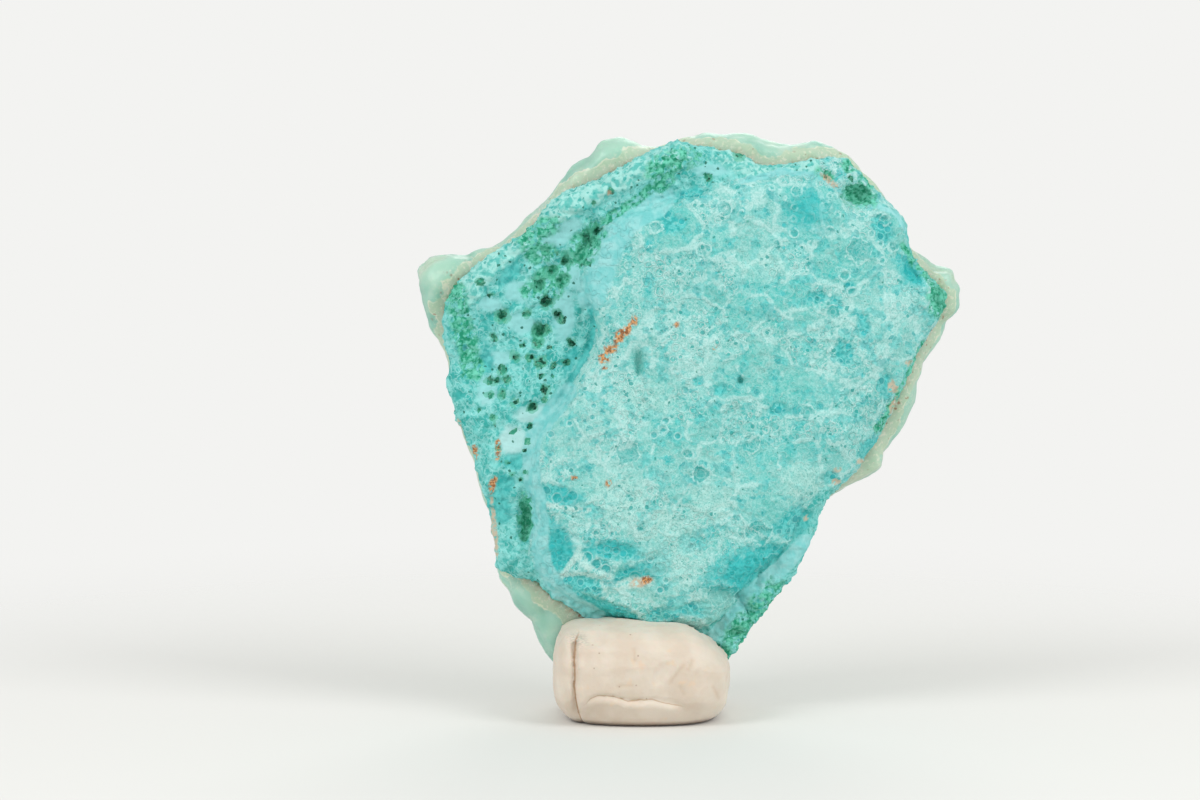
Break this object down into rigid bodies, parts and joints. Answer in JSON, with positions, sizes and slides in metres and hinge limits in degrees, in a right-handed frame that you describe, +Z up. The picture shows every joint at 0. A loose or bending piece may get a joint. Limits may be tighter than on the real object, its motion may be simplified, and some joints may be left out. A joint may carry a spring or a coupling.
{
  "type": "chrysocolla specimen",
  "caption": "Upright turquoise chrysocolla mineral specimen with a pitted, cellular face and a pale green botryoidal chalcedony crust behind it, held in a lump of putty.",
  "frame": {"origin": "middle of the putty's flat foot, on the surface that it stands on", "axes": "+Z up, +X to the right across the specimen's face, +Y from its face to its back"},
  "size_m": [0.0932, 0.031, 0.1005],
  "materials": {
    "chrysocolla": "matte turquoise chrysocolla with pale veins, teal cells and green malachite in its pits",
    "chalcedony": "translucent pale green botryoidal chalcedony with a waxy gloss",
    "putty": "smooth matte cream modelling putty with hand marks"
  },
  "bodies": {
    "root": {"chrysocolla": "chrysocolla", "chalcedony_crust": "chalcedony", "putty_base": "putty"}
  },
  "joints": []
}
